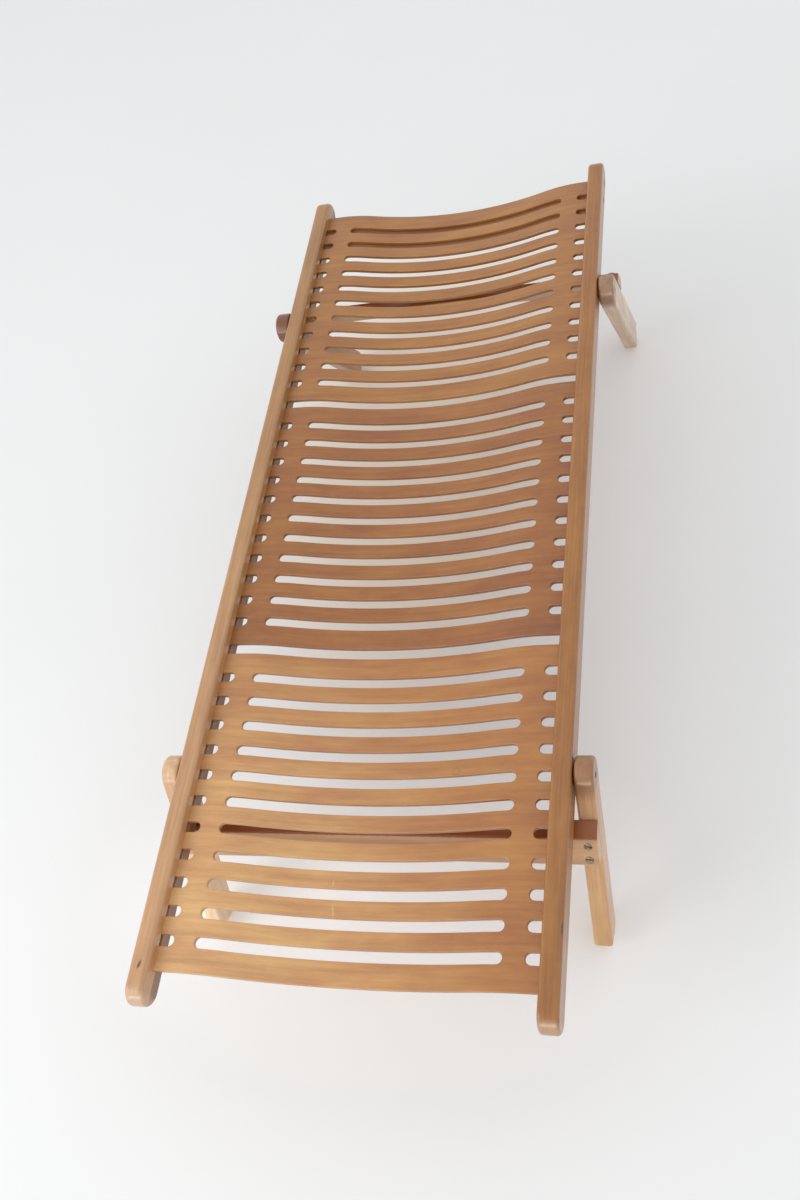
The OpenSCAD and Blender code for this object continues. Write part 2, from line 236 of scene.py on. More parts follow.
def roundedBoard(corners, lowW, highW, axes, steps=5):
    # a board from its outline in u and v, standing from lowW to highW, all its edges rounded
    bm = bmesh.new()
    rings = []
    for point, away, edge in roundOutline(corners):
        ring = []
        for side, w in ((-1, lowW), (1, highW)):
            for k in range(steps + 1):
                a = math.pi / 2 * (k if side < 0 else steps - k) / steps
                spot = point - away * edge * (1 - math.sin(a))
                coords = {"u": spot.x, "v": spot.y, "w": w - side * edge * (1 - math.cos(a))}
                ring.append(bm.verts.new([coords[axis] for axis in axes]))
        rings.append(ring)
    for ring, after in zip(rings, rings[1:] + rings[:1]):
        for k in range(len(ring) - 1):
            bm.faces.new((ring[k], after[k], after[k + 1], ring[k + 1]))
    bm.faces.new([ring[0] for ring in reversed(rings)])
    bm.faces.new([ring[-1] for ring in rings])
    bmesh.ops.recalc_face_normals(bm, faces=bm.faces)
    return bm


# Node helpers, for shaders and for geometry

def addNode(tree, kind, settings=None, **values):
    node = tree.nodes.new(kind)
    for key, value in (settings or {}).items():
        setattr(node, key, value)
    for key, value in values.items():
        name = key.replace("_", " ")
        socket = next(s for s in node.inputs if s.enabled and s.name.lower() == name.lower())
        feed(tree, socket, value)
    return node


def feed(tree, socket, value):
    if isinstance(value, bpy.types.NodeSocket):
        tree.links.new(value, socket)
    else:
        socket.default_value = value


def sums(tree, operation, *values):
    node = tree.nodes.new("ShaderNodeMath")
    node.operation = operation
    for socket, value in zip(node.inputs, values):
        feed(tree, socket, value)
    return node.outputs[0]


def vectorSums(tree, operation, *values):
    node = tree.nodes.new("ShaderNodeVectorMath")
    node.operation = operation
    for socket, value in zip(node.inputs, values):
        feed(tree, socket, value)
    return node.outputs["Value" if operation == "LENGTH" else "Vector"]


def times(tree, first, *others):
    for value in others:
        first = sums(tree, "MULTIPLY", first, value)
    return first


def plus(tree, first, *others):
    for value in others:
        first = sums(tree, "ADD", first, value)
    return first


def minus(tree, first, second):
    return sums(tree, "SUBTRACT", first, second)


def split(tree, vector):
    return addNode(tree, "ShaderNodeSeparateXYZ", Vector=vector).outputs


def joinXYZ(tree, **parts):
    return addNode(tree, "ShaderNodeCombineXYZ", **parts).outputs[0]


def noise(tree, place, scale, detail, roughness=0.5):
    return addNode(tree, "ShaderNodeTexNoise", Vector=place, Scale=scale, Detail=detail,
                   Roughness=roughness).outputs


def ramp(tree, value, low, high, top=1.0):
    # 0 at low and top at high, held beyond them
    return addNode(tree, "ShaderNodeMapRange", Value=value, From_Min=low, From_Max=high,
                   To_Max=top).outputs["Result"]


def mixed(tree, factor, first, second):
    return addNode(tree, "ShaderNodeMix", {"data_type": "RGBA"}, Factor=factor, A=first, B=second).outputs[2]


def realAndDressed(tree, geometry, finish):
    real = addNode(tree, "GeometryNodeRealizeInstances", Geometry=geometry)
    return addNode(tree, "GeometryNodeSetMaterial", Geometry=real.outputs[0], Material=finish).outputs[0]


geometrySocket, boardSocket = ("Geometry", "Geometry", None), ("Board", "Vector", None)


def newTree(name, kind, inputs, outputs):
    # sockets are (name, kind, first value)
    tree = bpy.data.node_groups.new(name, kind)
    for way, sockets in (("INPUT", inputs), ("OUTPUT", outputs)):
        for label, socketType, start in sockets:
            made = tree.interface.new_socket(label, in_out=way, socket_type="NodeSocket" + socketType)
            if start is not None:
                made.default_value = start
    return tree, tree.nodes.new("NodeGroupInput").outputs, tree.nodes.new("NodeGroupOutput").inputs


def useTree(made, tree, values):
    # inputs are set by identifier before the shape is first evaluated
    modifier = made.modifiers.new(tree.name, "NODES")
    modifier.node_group = tree
    keys = {item.name: item.identifier for item in tree.interface.items_tree
            if item.item_type == "SOCKET" and item.in_out == "INPUT"}
    for label, value in values.items():
        modifier[keys[label]] = value


addCamera(cameraPlace)
print("camera placed")


# Shader groups

# The noises have a scale along the grain and one across it
grainShape = dict(slow=(2.2, 13), streak=(9, 150), fibre=(45, 1400), fleck=(330, 1900),
                  fleckRange=(0.62, 0.7), pith=(0.031, 0.074), ringPower=2.2, ringMiddle=0.4,
                  streakGain=2.2, fibreGain=0.6)


def makeBeechGrain():
    # rings, fibres and ray flecks of beech, X along the grain
    tree, given, out = newTree("beechGrain", "ShaderNodeTree",
        [boardSocket, ("Ring Spacing", "Float", 0.006), ("Wobble", "Float", 0.006),
         ("Ring Strength", "Float", 0.5), ("Streak Strength", "Float", 0.5),
         ("Fleck Strength", "Float", 0.5), ("Pale", "Color", (0.6, 0.35, 0.17, 1)),
         ("Deep", "Color", (0.4, 0.19, 0.08, 1))],
        [("Color", "Color", None), ("Height", "Float", None)])

    def stretched(part):
        along, across = grainShape[part]
        return vectorSums(tree, "MULTIPLY", given["Board"], (along, across, across))

    def squared(value, offset):
        return sums(tree, "POWER", plus(tree, value, offset), 2.0)

    slow = noise(tree, stretched("slow"), 1.0, 2.0, 0.45)["Fac"]
    streak = noise(tree, stretched("streak"), 1.0, 4.0, 0.6)["Fac"]
    fibre = noise(tree, stretched("fibre"), 1.0, 2.0, 0.6)["Fac"]
    specks = noise(tree, stretched("fleck"), 1.0, 1.0, 0.4)["Fac"]
    fleck = ramp(tree, specks, *grainShape["fleckRange"])
    apart = split(tree, given["Board"])
    pithY, pithZ = grainShape["pith"]
    fromPith = sums(tree, "SQRT", plus(tree, squared(apart["Y"], pithY), squared(apart["Z"], pithZ)))
    shaken = sums(tree, "MULTIPLY_ADD", slow, times(tree, given["Wobble"], 10.0), fromPith)
    wave = sums(tree, "SINE", times(tree, sums(tree, "DIVIDE", shaken, given["Ring Spacing"]), 2 * math.pi))
    ring = sums(tree, "POWER", sums(tree, "MULTIPLY_ADD", wave, 0.5, 0.5), grainShape["ringPower"])
    grain = plus(tree, times(tree, minus(tree, ring, grainShape["ringMiddle"]), given["Ring Strength"]),
                 times(tree, minus(tree, streak, 0.5), given["Streak Strength"], grainShape["streakGain"]),
                 times(tree, minus(tree, fibre, 0.5), grainShape["fibreGain"]),
                 times(tree, fleck, given["Fleck Strength"]))
    depth = addNode(tree, "ShaderNodeClamp", Value=plus(tree, grain, 0.5)).outputs["Result"]
    feed(tree, out["Color"], mixed(tree, depth, given["Pale"], given["Deep"]))
    feed(tree, out["Height"], minus(tree, times(tree, fibre, 0.5), times(tree, fleck, 0.6)))
    return tree


wear = dict(blotchStretch=(0.5, 1.4, 1.4), blotchScale=16.0, redShare=0.6, greenShare=1.1,
            spotScale=70.0, unevenness=0.22, roughening=0.3, sharpEdge=(0.52, 0.6),
            rubbedRange=(0.35, 0.65), rubbedTone=(0.66, 0.47, 0.3, 1),
            dustRange=(0.3, 0.8), dustTone=(0.6, 0.55, 0.48, 1))


def makeHandling():
    # years of handling: blotches, rubbed edges and a little dust on faces that look up
    tree, given, out = newTree("handling", "ShaderNodeTree",
        [("Color", "Color", (0.5, 0.3, 0.15, 1)), boardSocket, ("Blotches", "Float", 0.3),
         ("Rubbed", "Float", 0.3), ("Dust", "Float", 0.1), ("Roughness", "Float", 0.4)],
        [("Color", "Color", None), ("Roughness", "Float", None), ("Height", "Float", None)])
    about = addNode(tree, "ShaderNodeNewGeometry").outputs
    stretched = vectorSums(tree, "MULTIPLY", given["Board"], wear["blotchStretch"])
    large = noise(tree, stretched, wear["blotchScale"], 4.0, 0.6)["Fac"]
    small = noise(tree, given["Board"], wear["spotScale"], 4.0, 0.65)["Fac"]
    edge = ramp(tree, about["Pointiness"], *wear["sharpEdge"])
    rubbed = times(tree, edge, given["Rubbed"], ramp(tree, small, *wear["rubbedRange"]))
    up = sums(tree, "MAXIMUM", split(tree, about["Normal"])["Z"], 0.0)
    dust = times(tree, up, given["Dust"], ramp(tree, small, *wear["dustRange"]))
    level = times(tree, minus(tree, large, 0.5), given["Blotches"])
    levels = joinXYZ(tree, X=sums(tree, "MULTIPLY_ADD", level, wear["redShare"], 1.0),
                     Y=sums(tree, "MULTIPLY_ADD", level, wear["greenShare"], 1.0),
                     Z=plus(tree, level, 1.0))
    blotched = vectorSums(tree, "MULTIPLY", given["Color"], levels)
    worn = mixed(tree, rubbed, blotched, wear["rubbedTone"])
    feed(tree, out["Color"], mixed(tree, dust, worn, wear["dustTone"]))
    uneven = sums(tree, "MULTIPLY_ADD", minus(tree, small, 0.5), wear["unevenness"], given["Roughness"])
    rougher = times(tree, plus(tree, rubbed, dust), wear["roughening"])
    feed(tree, out["Roughness"], plus(tree, uneven, rougher))
    feed(tree, out["Height"], small)
    return tree


crossPly = dict(skin=0.06, tone=(0.2, 0.085, 0.035, 1), strength=0.6)     # skin is a share of the depth


def makePlyLayers():
    # dark and pale plies on a panel's edges, by depth below its face
    tree, given, out = newTree("plyLayers", "ShaderNodeTree",
        [boardSocket, ("Thickness", "Float", 0.0055), ("Plies", "Float", 5.0)],
        [("Cross Ply", "Float", None), ("Edge", "Float", None)])
    below = times(tree, split(tree, given["Board"])["Z"], -1.0)
    depth = sums(tree, "DIVIDE", below, given["Thickness"])
    ply = sums(tree, "FLOOR", times(tree, depth, given["Plies"]))
    feed(tree, out["Cross Ply"], sums(tree, "MODULO", ply, 2.0))
    pastTop = sums(tree, "GREATER_THAN", depth, crossPly["skin"])
    aboveBottom = sums(tree, "LESS_THAN", depth, 1 - crossPly["skin"])
    feed(tree, out["Edge"], times(tree, pastTop, aboveBottom))
    return tree


markWaver = dict(scale=260.0, reach=(0.0024, 0.0024, 0.0))


def makeMark():
    # a scratch, dent, stain or knot: a soft spot, line or ring at one place on the board
    tree, given, out = newTree("mark", "ShaderNodeTree",
        [boardSocket, ("Centre", "Vector", None), ("Half Size", "Vector", (0.01, 0.001, 0.01)),
         ("Turn", "Vector", None), ("Ring", "Float", 0.0), ("Core", "Float", 0.55),
         ("Strength", "Float", 1.0)],
        [("Mask", "Float", None)])
    waver = noise(tree, given["Board"], markWaver["scale"], 2.0)["Color"]
    centred = vectorSums(tree, "SUBTRACT", waver, (0.5, 0.5, 0.5))
    jitter = vectorSums(tree, "MULTIPLY", centred, markWaver["reach"])
    away = vectorSums(tree, "ADD", vectorSums(tree, "SUBTRACT", given["Board"], given["Centre"]), jitter)
    turned = addNode(tree, "ShaderNodeVectorRotate", {"rotation_type": "EULER_XYZ"},
                     Vector=away, Rotation=given["Turn"]).outputs["Vector"]
    far = vectorSums(tree, "LENGTH", vectorSums(tree, "DIVIDE", turned, given["Half Size"]))
    soft = ramp(tree, far, 1.0, given["Core"])
    hollow = ramp(tree, far, minus(tree, given["Ring"], 0.3), given["Ring"])
    feed(tree, out["Mask"], times(tree, soft, hollow, given["Strength"]))
    return tree


beechGrain = makeBeechGrain()
handling = makeHandling()
plyLayers = makePlyLayers()
mark = makeMark()


# Finishes

def newMaterial(name):
    material = bpy.data.materials.new(name)
    material.use_nodes = True
    tree = material.node_tree
    return material, tree, tree.nodes["Principled BSDF"]


def useGroup(tree, group, **values):
    node = tree.nodes.new("ShaderNodeGroup")
    node.node_tree = group
    for key, value in values.items():
        feed(tree, node.inputs[key.replace("_", " ")], value)
    return node.outputs


def markMask(tree, board, spot):
    return useGroup(tree, mark, Board=board, Centre=spot["at"], Half_Size=spot["half"],
                    Turn=[math.radians(a) for a in spot.get("turn", (0, 0, 0))], Ring=spot.get("ring", 0.0),
                    Core=spot.get("core", 0.55), Strength=spot["strength"])["Mask"]


beech = dict(rings=0.12, streaks=0.45, flecks=0.14, blotches=0.65, rubbed=0.35, dust=0.04,
             roughness=0.4, bump=0.08, bumpHeight=0.0004, spotHeight=0.4, coat=0.55, coatRoughness=0.2)
metal = dict(scale=420, dullRange=(0.4, 0.62), roughening=0.25, bump=0.15, bumpHeight=0.0002, metallic=0.85)
rubber = dict(scale=900, roughness=0.6, roughening=0.2, bump=0.2, bumpHeight=0.0003)


def dressSurface(tree, surface, colour, rough, values, height):
    feed(tree, surface.inputs["Base Color"], colour)
    feed(tree, surface.inputs["Roughness"], rough)
    bump = addNode(tree, "ShaderNodeBump", Strength=values["bump"], Distance=values["bumpHeight"],
                   Height=height)
    feed(tree, surface.inputs["Normal"], bump.outputs["Normal"])


def beechFinish(name, pale, deep, spacing=0.006, wobble=0.0015, plies=None, paintedLight=None, marks=(), **changes):
    # a patch is painted light that shifts the tones under the grain, and marks lie over it
    values = dict(beech, **changes)
    material, tree, surface = newMaterial(name)
    board = addNode(tree, "ShaderNodeAttribute", {"attribute_name": "board"}).outputs["Vector"]
    pale, deep = (*pale, 1), (*deep, 1)
    if paintedLight:
        mask = markMask(tree, board, paintedLight)
        pale = mixed(tree, mask, pale, (*paintedLight["pale"], 1))
        deep = mixed(tree, mask, deep, (*paintedLight["deep"], 1))
    wood = useGroup(tree, beechGrain, Board=board, Ring_Spacing=spacing, Wobble=wobble,
                    Ring_Strength=values["rings"], Streak_Strength=values["streaks"],
                    Fleck_Strength=values["flecks"], Pale=pale, Deep=deep)
    colour = wood["Color"]
    if plies:
        edge = useGroup(tree, plyLayers, Board=board, Thickness=plies * mm)
        cross = times(tree, edge["Cross Ply"], edge["Edge"], crossPly["strength"])
        colour = mixed(tree, cross, colour, crossPly["tone"])
    worn = useGroup(tree, handling, Color=colour, Board=board, Blotches=values["blotches"],
                    Rubbed=values["rubbed"], Dust=values["dust"], Roughness=values["roughness"])
    colour = worn["Color"]
    for spot in marks:
        colour = mixed(tree, markMask(tree, board, spot), colour, (*spot["colour"], 1))
    height = sums(tree, "MULTIPLY_ADD", worn["Height"], values["spotHeight"], wood["Height"])
    dressSurface(tree, surface, colour, worn["Roughness"], values, height)
    surface.inputs["Coat Weight"].default_value = values["coat"]
    surface.inputs["Coat Roughness"].default_value = values["coatRoughness"]
    return material


def metalFinish(name, bright, dark, roughness):
    material, tree, surface = newMaterial(name)
    place = addNode(tree, "ShaderNodeTexCoord").outputs["Object"]
    fine = noise(tree, place, metal["scale"], 5.0, 0.6)["Fac"]
    dull = ramp(tree, fine, *metal["dullRange"])
    colour = mixed(tree, dull, (*bright, 1), (*dark, 1))
    rough = sums(tree, "MULTIPLY_ADD", dull, metal["roughening"], roughness)
    dressSurface(tree, surface, colour, rough, metal, fine)
    surface.inputs["Metallic"].default_value = metal["metallic"]
    return material


def rubberFinish(name, dark, pale):
    material, tree, surface = newMaterial(name)
    place = addNode(tree, "ShaderNodeTexCoord").outputs["Object"]
    fine = noise(tree, place, rubber["scale"], 3.0)["Fac"]
    colour = mixed(tree, fine, (*dark, 1), (*pale, 1))
    rough = sums(tree, "MULTIPLY_ADD", fine, rubber["roughening"], rubber["roughness"])
    dressSurface(tree, surface, colour, rough, rubber, fine)
    return material


paleScratch, darkStain, wornEnd = (0.8, 0.5, 0.26), (0.13, 0.055, 0.027), (0.72, 0.54, 0.4)
# the colour of painted shade on the legs' round tops
topShadeTone = (0.17, 0.055, 0.015)

# All places are on the piece's own board in metres, X along the grain
panelTint = {
    "foot": dict(
        pale=(0.516, 0.213, 0.05), deep=(0.336, 0.12, 0.024),
        # The foot panel's patch is painted sheen: paler, less saturated tones towards its foot-left corner
        paintedLight=dict(at=(0.17, -0.66, 0), half=(0.36, 0.55, 1), core=0, strength=0.95,
                   pale=(0.95, 0.55, 0.235), deep=(0.63, 0.35, 0.145)),
        marks=[dict(at=(0.3403, -0.5006, 0), half=(0.0012, 0.0045, 0.01), turn=(0, 0, 4),
                    strength=0.5, colour=paleScratch),
               dict(at=(0.3450, -0.5322, 0), half=(0.0011, 0.0095, 0.01), turn=(0, 0, -13),
                    strength=0.5, colour=paleScratch),
               dict(at=(0.4693, -0.3677, 0), half=(0.006, 0.005, 0.01), ring=0.75,
                    strength=0.4, colour=darkStain),
               dict(at=(0.21, -0.6, 0), half=(0.09, 0.0035, 0.01), strength=0.12, colour=darkStain)]),
    "middle": dict(
        pale=(0.414, 0.15, 0.023), deep=(0.258, 0.077, 0.011),
        marks=[dict(at=(0.55, -0.19, 0), half=(0.05, 0.01, 0.01), strength=0.25, colour=darkStain)]),
    "head": dict(pale=(0.47, 0.192, 0.034), deep=(0.31, 0.112, 0.017)),
}
panelFinish = {place: beechFinish(place + "PanelBeech", plies=panelSizes["thickness"], spacing=0.011,
                                  wobble=0.0042, rings=0.09, streaks=0.62, blotches=1.15, **tint)
               for place, tint in panelTint.items()}

# Both rails have painted shade on the inner face, below the panels
shadeBelowPanels = dict(at=(1, 0.213, -0.033), half=(4, 0.003, 0.0145), core=0.85,
                        strength=0.7, colour=(0.14, 0.06, 0.025))
railTint = {
    # The left rail's tones are paler than the right rail's and its patch pales them further towards the foot
    # end: painted light from the left
    "left": dict(
        pale=(0.5, 0.25, 0.085), deep=(0.3, 0.13, 0.039), spacing=0.0055, streaks=0.6,
        paintedLight=dict(at=(-0.25, 0.2242, 0), half=(0.95, 3, 3), core=0, strength=0.6,
                   pale=(0.88, 0.52, 0.275), deep=(0.58, 0.32, 0.165)),
        marks=[shadeBelowPanels,
               dict(at=(-0.2102, 0.2236, 0), half=(0.0062, 0.0022, 0.01), turn=(0, 0, 14),
                    strength=0.95, colour=darkStain),
               dict(at=(-0.2500, 0.2242, -0.0195), half=(0.014, 0.05, 0.05), strength=0.45, colour=wornEnd)]),
    "right": dict(
        pale=(0.45, 0.18, 0.03), deep=(0.25, 0.085, 0.012), spacing=0.0048, streaks=0.65,
        marks=[shadeBelowPanels,
               dict(at=(1.3495, 0.2346, -0.001), half=(0.012, 0.0013, 0.0022),
                    strength=0.95, colour=darkStain),
               dict(at=(1.2500, 0.2242, -0.0195), half=(0.012, 0.05, 0.05), strength=0.35, colour=wornEnd)]),
}
railFinish = {side: beechFinish(side + "RailBeech", rings=0.14, **tint) for side, tint in railTint.items()}

legShift = {"head": 0.7, "foot": 2.3}     # metres along the grain
# Leg tones are lit and shaded copies of one beech: the head-left leg is darker as painted shade, the others
# paler as painted light, the foot-left leg's patch is painted light on its lower end, and the round tops get
# painted shade with the strengths given here
legTint = {
    "headLeft": dict(pale=(0.5, 0.25, 0.11), deep=(0.32, 0.14, 0.055), topShade=0.95),
    "headRight": dict(pale=(0.78, 0.53, 0.34), deep=(0.5, 0.29, 0.155), topShade=0.66),
    "footLeft": dict(pale=(0.8, 0.51, 0.29), deep=(0.55, 0.31, 0.155),
                     paintedLight=dict(at=(2.09, 0, 0.27), half=(0.16, 0.3, 0.5), strength=0.95,
                                pale=(1, 0.79, 0.51), deep=(0.93, 0.61, 0.37))),
    "footRight": dict(pale=(0.77, 0.44, 0.2), deep=(0.52, 0.262, 0.102), topShade=0.64),
}
barTint = {
    "head": dict(pale=(0.6, 0.35, 0.18), deep=(0.4, 0.2, 0.09)),
    "foot": dict(pale=(0.77, 0.46, 0.235), deep=(0.56, 0.3, 0.135)),
}


def legFinish(end, side):
    # most legs have painted shade on the round top, round the pivot
    tint = dict(legTint[end + side.capitalize()])
    strength = tint.pop("topShade", 0)
    topShade = dict(at=(legShift[end] + 0.014, 0, 0.25), half=(0.034, 0.2, 0.4),
                 strength=strength, colour=topShadeTone)
    return beechFinish(end + side.capitalize() + "LegBeech", spacing=0.005, blotches=1.1, streaks=0.8,
                       marks=[topShade] if strength else [], **tint)


def barFinish(end):
    # the bar's sloping top has painted shade, darker than its front
    splay, middle = legSizes[end]["splay"], (legSizes["width"] + barSizes[end]) / 2
    lean = math.radians(splay)
    top = -(barSizes["topDrop"] - bedSizes["pivotDrop"] + middle * math.sin(lean)) / math.cos(lean)
    topShade = dict(at=(0, middle * mm, top * mm), half=(20, 0.3, 0.0026), turn=(splay, 0, 0),
                 strength=0.92, colour=(0.32, 0.075, 0.004))
    return beechFinish(end + "BarBeech", spacing=0.005, blotches=0.8, streaks=0.7,
                       marks=[topShade], **barTint[end])


ribFinish = beechFinish("ribBeech", (0.34, 0.14, 0.052), (0.22, 0.078, 0.028), spacing=0.007)
screwSteel = metalFinish("screwSteel", (0.42, 0.31, 0.2), (0.1, 0.065, 0.04), 0.38)
darkSteel = metalFinish("darkSteel", (0.12, 0.105, 0.09), (0.04, 0.034, 0.03), 0.42)
bufferRubber = rubberFinish("bufferRubber", (0.012, 0.011, 0.011), (0.045, 0.042, 0.04))
print("finishes made")


# The hollow of the bed, which the panels and the rib follow

hollowSizes = dict(drop=14.2, sag=24.3, flat=14, bellyRadius=580)


def makeFollowHollow():
    tree, given, out = newTree("followHollow", "GeometryNodeTree",
        [geometrySocket, ("Drop", "Float", hollowSizes["drop"]),
         ("Sag", "Float", hollowSizes["sag"]), ("Half Width", "Float", railIn - hollowSizes["flat"]),
         ("Belly Radius", "Float", hollowSizes["bellyRadius"])],
        [geometrySocket])
    spot = split(tree, addNode(tree, "GeometryNodeInputPosition").outputs[0])
    half, belly = given["Half Width"], given["Belly Radius"]
    across = sums(tree, "ABSOLUTE", spot["X"])
    bend = times(tree, sums(tree, "ARCTANGENT", sums(tree, "DIVIDE", given["Sag"], half)), 2.0)
    sine = sums(tree, "SINE", bend)
    bellyHalf = times(tree, belly, sine)
    shoulder = minus(tree, sums(tree, "DIVIDE", half, sine), belly)

    def rise(radius, part):
        squares = minus(tree, times(tree, radius, radius), times(tree, part, part))
        return sums(tree, "SQRT", sums(tree, "MAXIMUM", squares, 0.0))

    bellyRise = rise(belly, sums(tree, "MINIMUM", across, bellyHalf))
    shoulderRise = rise(shoulder, sums(tree, "MAXIMUM", minus(tree, half, across), 0.0))
    bellyTop = minus(tree, minus(tree, belly, plus(tree, given["Drop"], given["Sag"])), bellyRise)
    shoulderTop = minus(tree, shoulderRise, plus(tree, given["Drop"], shoulder))
    past = sums(tree, "GREATER_THAN", across, bellyHalf)
    within = minus(tree, 1.0, past)

    def chosen(inBelly, inShoulder):
        return plus(tree, times(tree, inBelly, within), times(tree, inShoulder, past))

    lean = chosen(sums(tree, "DIVIDE", bellyRise, belly), sums(tree, "DIVIDE", shoulderRise, shoulder))
    height = plus(tree, chosen(bellyTop, shoulderTop), sums(tree, "DIVIDE", spot["Z"], lean))
    bent = joinXYZ(tree, X=spot["X"], Y=spot["Y"], Z=height)
    moved = addNode(tree, "GeometryNodeSetPosition", Geometry=given["Geometry"], Position=bent)
    feed(tree, out["Geometry"], moved.outputs[0])
    return tree


followHollow = makeFollowHollow()


def bentToHollow(tree, geometry, shift):
    # keeps each point's flat place in metres as "board", then bends the shape
    here = addNode(tree, "GeometryNodeInputPosition").outputs[0]
    metres = vectorSums(tree, "MULTIPLY_ADD", here, (mm, mm, mm), shift)
    kept = addNode(tree, "GeometryNodeStoreNamedAttribute", {"data_type": "FLOAT_VECTOR", "domain": "POINT"},
                   Geometry=geometry, Name="board", Value=metres)
    bent = tree.nodes.new("GeometryNodeGroup")
    bent.node_tree = followHollow
    feed(tree, bent.inputs["Geometry"], kept.outputs[0])
    return bent.outputs[0]


# Slotted panels

panelShift = 0.37     # metres along the grain, so that the rings differ from the other pieces


def edgeProfile(soft, thickness):
    # (distance from the edge, height) pairs down a rounded edge
    turns = (0, math.pi / 6, math.pi / 3, math.pi / 2)
    down = [(soft * (1 - math.sin(a)), -soft * (1 - math.cos(a))) for a in turns]
    return down + [(d, -thickness - z) for d, z in reversed(down)]


def slotTile():
    # one row of slots with half a slat on either side, from a quarter that is mirrored twice
    sizes = panelSizes
    pitch = (sizes["length"] - 2 * sizes["endSlat"] - sizes["slotWidth"]) / (sizes["rows"] - 1)
    half, reach = sizes["slotWidth"] / 2, pitch / 2
    tipIn = railIn - sizes["edgeSlot"] - sizes["bridge"]          # end of the middle slot
    tipOut = railIn - sizes["edgeSlot"]                       # inner end of the edge slot
    panelEdge = railIn + sizes["grooveDepth"]
    centreIn, centreOut, bridgeMid = tipIn - half, tipOut + half, (tipIn + tipOut) / 2
    straight, turn, rest = 12, 8, 2     # steps along the slot, round its end and on to the panel's edge

    def ringIn(i, d):
        if i <= straight:
            return (centreIn * i / straight, half + d)
        a = math.pi / 2 * (1 - (i - straight) / turn)
        return (centreIn + (half + d) * math.cos(a), (half + d) * math.sin(a))

    def ringOut(i, d):
        if i >= turn:
            return (centreOut + (panelEdge - centreOut) * (i - turn) / rest, half + d)
        a = math.pi / 2 * (2 - i / turn)
        return (centreOut + (half + d) * math.cos(a), (half + d) * math.sin(a))

    def cellIn(i):
        if i <= straight:
            return (centreIn * i / straight, reach)
        k = (i - straight) / (turn / 2)
        return (centreIn + (bridgeMid - centreIn) * min(k, 1), reach * (1 - max(k - 1, 0)))

    def cellOut(i):
        if i >= turn:
            return (centreOut + (panelEdge - centreOut) * (i - turn) / rest, reach)
        k = i / (turn / 2)
        return (bridgeMid + (centreOut - bridgeMid) * max(k - 1, 0), reach * min(k, 1))

    profile = edgeProfile(sizes["softEdge"], sizes["thickness"])
    bottom = -sizes["thickness"]
    faces = []
    for ring, cell, last in ((ringIn, cellIn, straight + turn), (ringOut, cellOut, turn + rest)):
        for i in range(last):
            a, b, c, d = ring(i, profile[0][0]), ring(i + 1, profile[0][0]), cell(i + 1), cell(i)
            faces.append([(*p, 0) for p in (a, b, c, d)])
            faces.append([(*p, bottom) for p in (d, c, b, a)])
            for (d0, z0), (d1, z1) in zip(profile, profile[1:]):
                faces.append([(*ring(i, d0), z0), (*ring(i, d1), z1),
                              (*ring(i + 1, d1), z1), (*ring(i + 1, d0), z0)])
    faces.append([(*ringOut(turn + rest, d), z) for d, z in profile]
                 + [(panelEdge, reach, bottom), (panelEdge, reach, 0)])
    bm = bmesh.new()
    for flipX in (1, -1):
        for flipY in (1, -1):
            for face in faces:
                corners = [bm.verts.new((x * flipX, y * flipY, z)) for x, y, z in face]
                bm.faces.new(corners if flipX * flipY > 0 else corners[::-1])
    bmesh.ops.remove_doubles(bm, verts=bm.verts, dist=1e-4)
    across = sorted({round(cellIn(i)[0], 5) for i in range(straight + turn + 1)}
                    | {round(cellOut(i)[0], 5) for i in range(turn + rest + 1)})
    return meshFrom(bm, "slotTile"), pitch, sorted({-x for x in across} | set(across))


def endSlat(pitch, across):
    # the wider slat that closes a panel's end, its outer edge rounded
    sizes = panelSizes
    width = sizes["endSlat"] - (pitch - sizes["slotWidth"]) / 2
    line = [(0, 0), (width / 2, 0)]
    line += [(width - d, z) for d, z in edgeProfile(sizes["softEdge"], sizes["thickness"])]
    line += [(width / 2, -sizes["thickness"]), (0, -sizes["thickness"])]
    bm = bmesh.new()
    columns = [[bm.verts.new((x, y, z)) for y, z in line] for x in across]
    for left, right in zip(columns, columns[1:]):
        for k in range(len(line) - 1):
            bm.faces.new((left[k], right[k], right[k + 1], left[k + 1]))
    bm.faces.new(columns[0])
    bm.faces.new(columns[-1][::-1])
    return meshFrom(bm, "endSlat")


